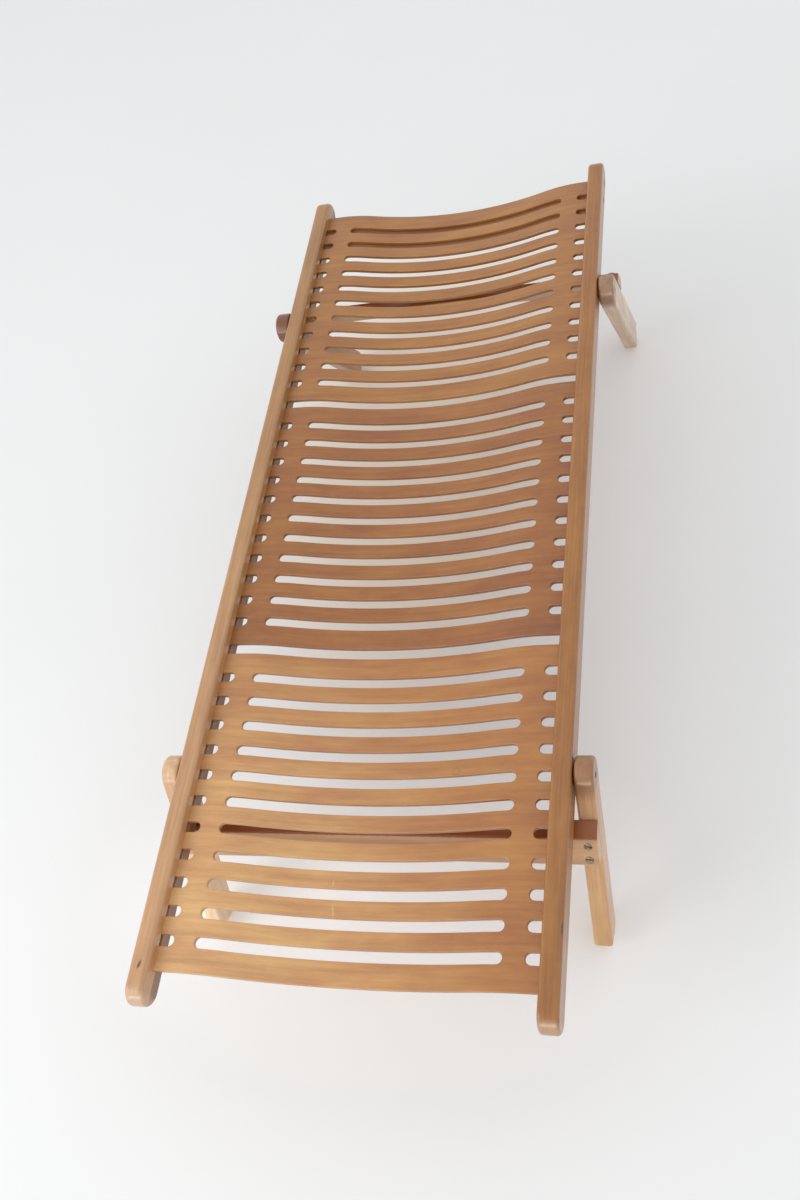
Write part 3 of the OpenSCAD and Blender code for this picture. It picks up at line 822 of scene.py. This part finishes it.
def makeSlattedPanel():
    # a line of rows with an end slat at either end, bent to the hollow
    tree, given, out = newTree("slattedPanel", "GeometryNodeTree",
        [geometrySocket, ("Row", "Object", None), ("End Slat", "Object", None), ("Rows", "Int", 11),
         ("Pitch", "Float", 33.2), ("Middle", "Float", 0.0), ("Finish", "Material", None)],
        [geometrySocket])
    reach = times(tree, given["Pitch"], times(tree, given["Rows"], 0.5))
    first = minus(tree, times(tree, given["Pitch"], 0.5), reach)
    line = addNode(tree, "GeometryNodeMeshLine", {"mode": "OFFSET"}, Count=given["Rows"],
                   Start_Location=joinXYZ(tree, Y=first), Offset=joinXYZ(tree, Y=given["Pitch"]))
    row = addNode(tree, "GeometryNodeObjectInfo", Object=given["Row"]).outputs["Geometry"]
    rows = addNode(tree, "GeometryNodeInstanceOnPoints", Points=line.outputs[0], Instance=row)
    slat = addNode(tree, "GeometryNodeObjectInfo", Object=given["End Slat"]).outputs["Geometry"]
    together = addNode(tree, "GeometryNodeJoinGeometry")
    feed(tree, together.inputs[0], rows.outputs[0])
    for turn, way in ((0, 1.0), (math.pi, -1.0)):
        ended = addNode(tree, "GeometryNodeTransform", Geometry=slat,
                        Translation=joinXYZ(tree, Y=times(tree, reach, way)))
        ended.inputs["Rotation"].default_value = (0, 0, turn)
        feed(tree, together.inputs[0], ended.outputs[0])
    real = addNode(tree, "GeometryNodeRealizeInstances", Geometry=together.outputs[0])
    merged = addNode(tree, "GeometryNodeMergeByDistance", Geometry=real.outputs[0], Distance=0.01)
    shift = joinXYZ(tree, X=panelShift, Y=times(tree, given["Middle"], mm))
    bent = bentToHollow(tree, merged.outputs[0], shift)
    placed = addNode(tree, "GeometryNodeTransform", Geometry=bent,
                     Translation=joinXYZ(tree, Y=given["Middle"]))
    smooth = addNode(tree, "GeometryNodeSetShadeSmooth", Geometry=placed.outputs[0])
    feed(tree, out["Geometry"], realAndDressed(tree, smooth.outputs[0], given["Finish"]))
    return tree


def makePanels():
    tileMesh, pitch, across = slotTile()
    tile = newObject("slotTile", tileMesh)
    slat = newObject("endSlat", endSlat(pitch, across))
    tree = makeSlattedPanel()
    for i, place in enumerate(("foot", "middle", "head")):
        made = newObject(place + "Panel", bpy.data.meshes.new(place + "Panel"))
        middle = rowStart + panelSizes["length"] / 2 + i * (panelSizes["length"] + panelSizes["gap"])
        useTree(made, tree, {"Row": tile, "End Slat": slat, "Rows": panelSizes["rows"], "Pitch": pitch,
                             "Middle": middle, "Finish": panelFinish[place]})
        even = made.modifiers.new("evenNormals", "WEIGHTED_NORMAL")
        even.keep_sharp = True
        bakeModifiers(made)
        made.data.transform(bedPlace)
        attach(made, "bed")
        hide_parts(place + "_panel")
    bpy.data.objects.remove(tile)
    bpy.data.objects.remove(slat)


makePanels()
print("panels made")


# Holes and fasteners

# Diameters, lengths and depths in millimetres, and the room around the pieces in their holes
hardware = dict(screwShank=4.2, barScrewHead=9.5, ribScrewHead=8, screwSink=0.2, slotHalf=0.6, slotDepth=1.1,
                boltHead=14, boltHeadThickness=3.2, boltSink=0.6, boltShoulder=8, boltThread=6,
                threadLength=10, socket=5.8, socketDepth=2, washer=20, washerThickness=1,
                insert=11, insertLength=11.5, buffer=16, bufferGap=0.4, stem=6, stemLength=8,
                screwRoom=0.3, washerRoom=0.3, pocketRoom=0.6, pocketDepthRoom=0.35)
anyTurn = 6.28     # radians, for fasteners that were tightened to no fixed angle
small = Matrix.Scale(mm, 4)
towardX = Matrix.Rotation(math.radians(90), 4, "Y")
towardY = Matrix.Rotation(math.radians(-90), 4, "X")


def screwHole(length, head, place):
    shank = hardware["screwShank"] / 2 + clearance
    cone = (head - hardware["screwShank"]) / 2
    wide = head / 2 + hardware["screwRoom"]
    profile = [(0, -length - 1), (shank, -length + 1), (shank, -cone), (wide, 0), (wide, 3), (0, 3)]
    return lathe(profile, place, 24)


def roundHole(radius, low, high, place):
    return lathe([(0, low), (radius, low), (radius, high), (0, high)], place)


def onBed(side, x, y, z):
    return bedPlace @ sideFlip[side] @ Matrix.Translation((x, y, z))


def ribScrewPlaces(side):
    height = -hollowSizes["drop"] - panelSizes["thickness"] - clearance - ribSizes["thickness"] / 2
    first = rowEnd + ribSizes["reach"] - ribSizes["screwInset"]
    out = railOut - hardware["screwSink"]
    return [onBed(side, out, first - k * ribSizes["screwGap"], height) @ towardX for k in (0, 1)]


def barTop(end, across):
    # how far the bar's sloping top is below the pivot, at a distance from the leg's middle line
    lean = math.radians(legSizes[end]["splay"])
    return (barSizes["topDrop"] - bedSizes["pivotDrop"] + across * math.sin(lean)) / math.cos(lean)


barBack = legSizes["width"] / 2 + clearance


def barFront(end):
    return barBack + barSizes[end]


def barLow(end):
    return barTop(end, barFront(end)) + barSizes["height"]


def barScrewPlaces(end, side):
    low, front = barSizes["screwInset"] - barLow(end), barFront(end) - hardware["screwSink"]
    spots = [(legMid, front, low + k * barSizes["screwGap"]) for k in (0, 1)]
    return [legPlace(end) @ sideFlip[side] @ Matrix.Translation(spot) @ towardY for spot in spots]


def barScrewHoles(end, side):
    return [screwHole(barSizes["screwLength"], hardware["barScrewHead"], place)
            for place in barScrewPlaces(end, side)]


def pivotPlace(end, side, x):
    return onBed(side, x, endWay[end] * pivotY[end], -bedSizes["pivotDrop"]) @ towardX


def bufferPlace(end, side):
    lean = math.radians(legSizes[end]["splay"])
    y = endWay[end] * (pivotY[end] + (barBack + barFront(end)) / 2 * math.cos(lean)
                       + (barTop(end, barBack) + barTop(end, barFront(end))) / 2 * math.sin(lean))
    return onBed(side, railMid, y, -bedSizes["railHeight"])


def makeFastenerRow():
    # stands one fastener on each point, along the point's own direction, with a random turn
    tree, given, out = newTree("fastenerRow", "GeometryNodeTree",
        [geometrySocket, ("Fastener", "Object", None), ("Random Turn", "Float", 0.0),
         ("Seed", "Int", 4), ("Finish", "Material", None)],
        [geometrySocket])
    outward = addNode(tree, "GeometryNodeInputNamedAttribute", {"data_type": "FLOAT_VECTOR"}, Name="outward")
    aimed = addNode(tree, "FunctionNodeAlignRotationToVector", {"axis": "Z"},
                    Vector=outward.outputs["Attribute"])
    chance = addNode(tree, "FunctionNodeRandomValue", {"data_type": "FLOAT"}, Seed=given["Seed"])
    share = next(o for o in chance.outputs if o.enabled)
    spin = joinXYZ(tree, Z=times(tree, share, given["Random Turn"]))
    turned = addNode(tree, "FunctionNodeRotateRotation", {"rotation_space": "LOCAL"},
                     Rotation=aimed.outputs[0])
    feed(tree, turned.inputs[1], addNode(tree, "FunctionNodeEulerToRotation", Euler=spin).outputs[0])
    piece = addNode(tree, "GeometryNodeObjectInfo", Object=given["Fastener"]).outputs["Geometry"]
    placed = addNode(tree, "GeometryNodeInstanceOnPoints", Points=given["Geometry"], Instance=piece,
                     Rotation=turned.outputs[0])
    feed(tree, out["Geometry"], realAndDressed(tree, placed.outputs[0], given["Finish"]))
    return tree


fastenerRow = makeFastenerRow()


def standFasteners(name, shape, places, finish, body, cadNodes, randomTurn=0.0, seed=4):
    mesh = bpy.data.meshes.new(name)
    mesh.from_pydata([tuple(p.translation) for p in places], [], [])
    outward = mesh.attributes.new("outward", "FLOAT_VECTOR", "POINT")
    for value, place in zip(outward.data, places):
        value.vector = (place.to_3x3() @ Vector((0, 0, 1))).normalized()
    made = newObject(name, mesh)
    useTree(made, fastenerRow, {"Fastener": shape, "Random Turn": randomTurn, "Seed": seed, "Finish": finish})
    bakeModifiers(made)
    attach(made, body)
    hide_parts(*cadNodes)


def shapeObject(name, mesh, cutters=(), sharpAngle=38):
    made = newObject(name, mesh)
    if cutters:
        cutHoles(made, cutters)
    smoothFaces(made, sharpAngle)
    return made


def slottedScrew(name, length, head):
    # a pointed shank, a cone and a flat head with a worn rim
    shank, wide = hardware["screwShank"] / 2, head / 2
    profile = [(0, -length), (0.2, -length), (shank, -length + shank * 2), (shank, shank - wide),
               (wide - 0.15, -0.35), (wide, -0.22), (wide - 0.06, -0.08), (wide - 0.35, 0),
               (wide * 0.55, 0), (0, 0)]
    half, deep = hardware["slotHalf"], hardware["slotDepth"]
    slot = boxMesh((-wide - 1, -half, -deep), (wide + 1, half, 1), small)
    return shapeObject(name, lathe(profile, small, 40), [slot])


def pivotBolt():
    # a thread, a smooth shoulder and a low head with a six-sided socket
    thread, shank, wide, socket = (hardware[part] / 2 for part in
                                   ("boltThread", "boltShoulder", "boltHead", "socket"))
    shoulder = legOut - hardware["boltSink"] - hardware["boltHeadThickness"] - railOut - clearance
    top = shoulder + hardware["boltHeadThickness"]
    tip = -hardware["threadLength"]
    profile = [(0, tip), (thread - 0.5, tip), (thread, tip + 0.5), (thread, 0), (shank, 0),
               (shank, shoulder), (wide - 0.2, shoulder), (wide, shoulder + 0.2), (wide, top - 1.1),
               (wide - 0.3, top - 0.5), (wide - 0.9, top - 0.12), (wide - 1.8, top), (0, top)]
    floor = top - hardware["socketDepth"]
    sixSided = lathe([(0, floor), (socket, floor), (socket, top + 1), (0, top + 1)], small, 6)
    return shapeObject("pivotBolt", lathe(profile, small, 48), [sixSided], 30)


def pivotWasher():
    rim, thick = hardware["washer"] / 2, hardware["washerThickness"]
    profile = [(0, 0), (rim - 0.3, 0), (rim, 0.3), (rim, thick - 0.3), (rim - 0.3, thick), (0, thick)]
    hole = roundHole(hardware["boltShoulder"] / 2 + hardware["washerRoom"], -1, thick + 1, small)
    return shapeObject("pivotWasher", lathe(profile, small, 48), [hole], 50)


def stopBuffer():
    # a round foot below the rail, and its stem in the rail
    tall = barSizes["topDrop"] - hardware["bufferGap"] - bedSizes["railHeight"]
    wide, stem, long = hardware["buffer"] / 2, hardware["stem"] / 2, hardware["stemLength"]
    profile = [(0, -tall), (wide - 2.2, -tall), (wide - 1.2, -tall + 0.3), (wide - 0.3, -tall + 1.2),
               (wide, -tall + 2.2), (wide, -1.2), (wide - 0.4, -0.4), (wide - 1.1, -clearance),
               (stem, -clearance), (stem, long - 0.6), (stem - 0.6, long), (0, long)]
    return shapeObject("stopBuffer", lathe(profile, small, 40), (), 50)


def makeFasteners():
    ribScrew = slottedScrew("ribScrew", ribSizes["screwLength"], hardware["ribScrewHead"])
    barScrew = slottedScrew("barScrew", barSizes["screwLength"], hardware["barScrewHead"])
    bolt, washer, buffer = pivotBolt(), pivotWasher(), stopBuffer()
    pivotSpots = [pivotPlace(end, side, railOut + clearance) for end in ends for side in sides]
    standFasteners("ribScrews", ribScrew, [p for side in sides for p in ribScrewPlaces(side)],
                   screwSteel, "bed", ["rib_screws"], anyTurn, 3)
    for end, seed in (("head", 5), ("foot", 8)):
        spots = [p for side in sides for p in barScrewPlaces(end, side)]
        standFasteners(end + "CrossbarScrews", barScrew, spots, screwSteel, end + "_frame",
                       [end + "_crossbar_screws"], anyTurn, seed)
    standFasteners("pivotBolts", bolt, pivotSpots, darkSteel, "bed",
                   [f"{end}_{side}_pivot_bolt" for end in ends for side in sides], anyTurn, 2)
    standFasteners("pivotWashers", washer, pivotSpots, screwSteel, "bed", ["pivot_washers"])
    standFasteners("stopBuffers", buffer, [bufferPlace(end, side) for end in ends for side in sides],
                   bufferRubber, "bed", ["stop_buffers"])
    for shape in (ribScrew, barScrew, bolt, washer, buffer):
        bpy.data.objects.remove(shape)


makeFasteners()
print("fasteners made")


# Rails

railDetail = dict(grooveSlack=0.15, topSlack=0.03, boardShift={"left": 0.4, "right": 1.9})


def grooveCutter(side):
    slack = railDetail["grooveSlack"]
    deep = panelSizes["grooveDepth"] + slack
    top = -hollowSizes["drop"] + slack
    return boxMesh((railIn - 1, rowStart - slack, top - panelSizes["thickness"] - 2 * slack),
                   (railIn + deep, rowEnd + slack, top), bedPlace @ sideFlip[side])


def makeRail(side):
    sizes = bedSizes
    far, tall, top = sizes["railLength"] / 2, sizes["railHeight"], -railDetail["topSlack"]
    curve = (tall + top - 0.01) / 2     # just under half the height, so that the ends are round
    corners = [(y, z, curve, sizes["railRound"])
               for y, z in ((-far, -tall), (far, -tall), (far, top), (-far, top))]
    place = bedPlace @ sideFlip[side]
    board = roundedBoard(corners, railIn, railOut, "wuv")
    made = newObject(side + "Rail", meshFrom(board, side + "Rail", place))
    cutters = [grooveCutter(side)]
    cutters += [screwHole(ribSizes["screwLength"], hardware["ribScrewHead"], p) for p in ribScrewPlaces(side)]
    insert, stem = hardware["insert"] / 2 + clearance, hardware["stem"] / 2 + clearance
    for end in ends:
        cutters += [roundHole(insert, -hardware["insertLength"] - 0.1, 1, pivotPlace(end, side, railOut)),
                    roundHole(stem, -1, hardware["stemLength"] + clearance, bufferPlace(end, side))]
    cutAndDress(made, cutters, place, (1, 0, 2), (railDetail["boardShift"][side], 0, 0), railFinish[side])
    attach(made, "bed")
    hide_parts(side + "_rail")


for side in sides:
    makeRail(side)
print("rails made")


# Rib under the head panel

def makeCurvedStrip():
    tree, given, out = newTree("curvedStrip", "GeometryNodeTree",
        [geometrySocket, ("Finish", "Material", None)], [geometrySocket])
    bent = bentToHollow(tree, given["Geometry"], (0, 0, 0))
    feed(tree, out["Geometry"], realAndDressed(tree, bent, given["Finish"]))
    return tree


def makeRib():
    sizes = ribSizes
    far, top = rowEnd + sizes["reach"], -panelSizes["thickness"] - clearance
    near, low = far - sizes["width"], top - sizes["thickness"]
    corners = [(y, z, sizes["softEdge"], 0) for y, z in ((near, low), (far, low), (far, top), (near, top))]
    outline = [point for point, _, _ in roundOutline(corners)]
    edge, steps = railIn - clearance, 44
    bm = bmesh.new()
    columns = [[bm.verts.new((-edge + 2 * edge * i / steps, p.x, p.y)) for p in outline]
               for i in range(steps + 1)]
    for left, right in zip(columns, columns[1:]):
        for k in range(len(outline)):
            j = (k + 1) % len(outline)
            bm.faces.new((left[k], left[j], right[j], right[k]))
    bm.faces.new(columns[0])
    bm.faces.new(columns[-1])
    bmesh.ops.recalc_face_normals(bm, faces=bm.faces)
    made = newObject("headRib", meshFrom(bm, "headRib"))
    useTree(made, makeCurvedStrip(), {"Finish": ribFinish})
    bakeModifiers(made)
    made.data.transform(bedPlace)
    smoothFaces(made)
    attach(made, "bed")
    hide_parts("head_rib")


makeRib()
print("rib made")


# Legs and crossbars

barShift = {"head": 3.1, "foot": 4.6}     # metres along the grain, as for the legs
sideShift = {"left": 0.05, "right": 0}


def makeLeg(end, side):
    sizes = legSizes
    half, long, soft = sizes["width"] / 2, sizes[end]["length"], sizes["softEdge"]
    place = legPlace(end) @ sideFlip[side]
    low = place.translation.z
    riseY, riseZ = ((place.to_3x3() @ Vector(axis)).z for axis in ((0, 1, 0), (0, 0, 1)))
    inner = -(low - half * riseY) / riseZ                 # where the floor cuts the inner edge
    outer = -(low - long * riseZ) / riseY                 # and where it cuts the square end
    foot = sizes["footEdge"]
    blendOut, blendIn = sizes["footBlend"]
    corners = [(-half, inner, sizes["footCorner"], foot), (outer, -long, sizes["footCorner"], foot),
               (half, -long, sizes["footRound"], foot), (half, -long + blendOut, 0, soft),
               (half, half, half, soft), (-half, half, half, soft), (-half, inner + blendIn, 0, soft)]
    board = roundedBoard(corners, legIn, legOut, "wuv")
    made = newObject(f"{end}{side.capitalize()}Leg", meshFrom(board, "leg", place))
    pivot = pivotPlace(end, side, legOut)
    pocket = hardware["boltSink"] + hardware["boltHeadThickness"] + hardware["pocketDepthRoom"]
    cutters = [roundHole(hardware["boltShoulder"] / 2 + clearance, -sizes["thickness"] - 1, 1, pivot),
               roundHole(hardware["boltHead"] / 2 + hardware["pocketRoom"], -pocket, 1, pivot)]
    cutAndDress(made, cutters + barScrewHoles(end, side), place, (2, 1, 0),
                (legShift[end], 0, sideShift[side]), legFinish(end, side))
    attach(made, end + "_frame")
    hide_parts(f"{end}_{side}_leg")


def makeCrossbar(end):
    front, low = barFront(end), -barLow(end)
    highFront, highBack = -barTop(end, front), -barTop(end, barBack)
    soft, edge = barSizes["softEdge"], barSizes["endEdge"]
    corners = [(barBack, low, 1, edge), (front, low, soft, edge),
               (front, highFront, soft, edge), (barBack, highBack, 1, edge)]
    place = legPlace(end)
    board = roundedBoard(corners, -legOut, legOut, "wuv", 3)
    made = newObject(end + "Crossbar", meshFrom(board, "crossbar", place))
    cutters = barScrewHoles(end, "left") + barScrewHoles(end, "right")
    cutAndDress(made, cutters, place, (0, 1, 2), (barShift[end], 0, 0), barFinish(end))
    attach(made, end + "_frame")
    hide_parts(end + "_crossbar")


for end in ends:
    for side in sides:
        makeLeg(end, side)
    makeCrossbar(end)
print("leg frames made")

# The threaded inserts stay as they are, inside the rails
insertFinish = nodes["pivot_inserts"].data.materials
insertFinish.clear()
insertFinish.append(darkSteel)


# Floor, world and lamp

studio = dict(floorReach=7, floorTone=0.78, floorGlow=0.12, floorRoughness=0.9, floorSpecular=0.1,
              cloudScale=1.6, cloudTones=((1.02, 1.02, 1.02), (0.97, 0.97, 0.965)),
              worldTone=(0.975, 0.99, 1, 1), worldStrength=0.84, backdrop=0.9,
              windowGlow=5, windowLow=0.02, windowHigh=0.3, windowSide=-0.75, windowSoft=0.05,
              # Painted light on the floor: a glow towards the near side and a glow patch under the foot end;
              # painted shade under the bed, tinted warm as light bounced off the wood
              nearGlow=0.03, underBedShadeTone=(0.7, 0.6, 0.48, 1),
              paintedShadeUnderBed=dict(Centre=(-0.1, 0.4, 0), Half_Size=(0.3, 0.65, 1), Core=0.5, Strength=0.85),
              paleFloor=dict(Centre=(-0.05, -0.43, 0), Half_Size=(0.42, 0.25, 1), Core=0.0, Strength=0.2),
              keySpot=(-2.6, -2.0, 1.9), keyAim=(0, 0, 0.2), keySize=2.2, keyPower=42)


def seenDirectly(tree):
    path = addNode(tree, "ShaderNodeLightPath").outputs
    return sums(tree, "MAXIMUM", sums(tree, "MAXIMUM", path["Is Camera Ray"], path["Is Glossy Ray"]),
                path["Is Transmission Ray"])


def makeFloor():
    bm = bmesh.new()
    bmesh.ops.create_grid(bm, x_segments=24, y_segments=24, size=studio["floorReach"])
    floor = newObject("floor", meshFrom(bm, "floor"))
    material, tree, surface = newMaterial("paleFloor")
    place = addNode(tree, "ShaderNodeTexCoord").outputs["Object"]
    cloud = noise(tree, place, studio["cloudScale"], 5.0, 0.6)["Fac"]
    tones = [[studio["floorTone"] * share for share in shares] + [1] for shares in studio["cloudTones"]]
    # painted shade under the bed, tinted warm as light bounced off the wood
    underBedShade = useGroup(tree, mark, Board=place, **studio["paintedShadeUnderBed"])["Mask"]
    paint = mixed(tree, cloud, *tones)
    feed(tree, surface.inputs["Base Color"], mixed(tree, underBedShade, paint, studio["underBedShadeTone"]))
    surface.inputs["Roughness"].default_value = studio["floorRoughness"]
    surface.inputs["Specular IOR Level"].default_value = studio["floorSpecular"]
    surface.inputs["Emission Color"].default_value = (1, 1, 1, 1)
    # painted light: the floor glows more under the foot end and towards the near side
    glowUnderFoot = useGroup(tree, mark, Board=place, **studio["paleFloor"])["Mask"]
    nearer = ramp(tree, split(tree, place)["Y"], 0.0, -0.5, studio["nearGlow"])
    glow = plus(tree, glowUnderFoot, nearer, studio["floorGlow"])
    feed(tree, surface.inputs["Emission Strength"], times(tree, seenDirectly(tree), glow))
    floor.data.materials.append(material)


def windowInVarnish(tree):
    # a low window past the foot end, which only shows as a reflection in the varnish
    way = split(tree, addNode(tree, "ShaderNodeTexCoord").outputs["Generated"])
    low, high, side, soft = (studio["window" + part] for part in ("Low", "High", "Side", "Soft"))
    above = ramp(tree, way["Z"], low, low + soft)
    below = ramp(tree, way["Z"], high, high - soft)
    ahead = ramp(tree, way["Y"], side, side - 2 * soft)
    glossy = addNode(tree, "ShaderNodeLightPath").outputs["Is Glossy Ray"]
    return times(tree, above, below, ahead, glossy, studio["windowGlow"])


def makeWorld():
    world = bpy.data.worlds.new("studio")
    bpy.context.scene.world = world
    world.use_nodes = True
    tree = world.node_tree
    light = tree.nodes["Background"]
    light.inputs["Color"].default_value = studio["worldTone"]
    light.inputs["Strength"].default_value = studio["worldStrength"]
    shown = addNode(tree, "ShaderNodeBackground", Color=(1, 1, 1, 1),
                    Strength=plus(tree, windowInVarnish(tree), studio["backdrop"]))
    blend = addNode(tree, "ShaderNodeMixShader")
    for socket, value in zip(blend.inputs, (seenDirectly(tree), light.outputs[0], shown.outputs[0])):
        feed(tree, socket, value)
    feed(tree, tree.nodes["World Output"].inputs["Surface"], blend.outputs[0])


def makeLamp(name, spot, size, power, aim):
    data = bpy.data.lights.new(name, "AREA")
    data.shape = "DISK"
    data.size = size
    data.energy = power
    lamp = bpy.data.objects.new(name, data)
    lamp.location = spot
    lamp.rotation_euler = (Vector(aim) - Vector(spot)).to_track_quat("-Z", "Y").to_euler()
    bpy.context.scene.collection.objects.link(lamp)


makeFloor()
makeWorld()
makeLamp("windowLight", studio["keySpot"], studio["keySize"], studio["keyPower"], studio["keyAim"])
bpy.context.scene.view_settings.view_transform = "Standard"
print("studio made")
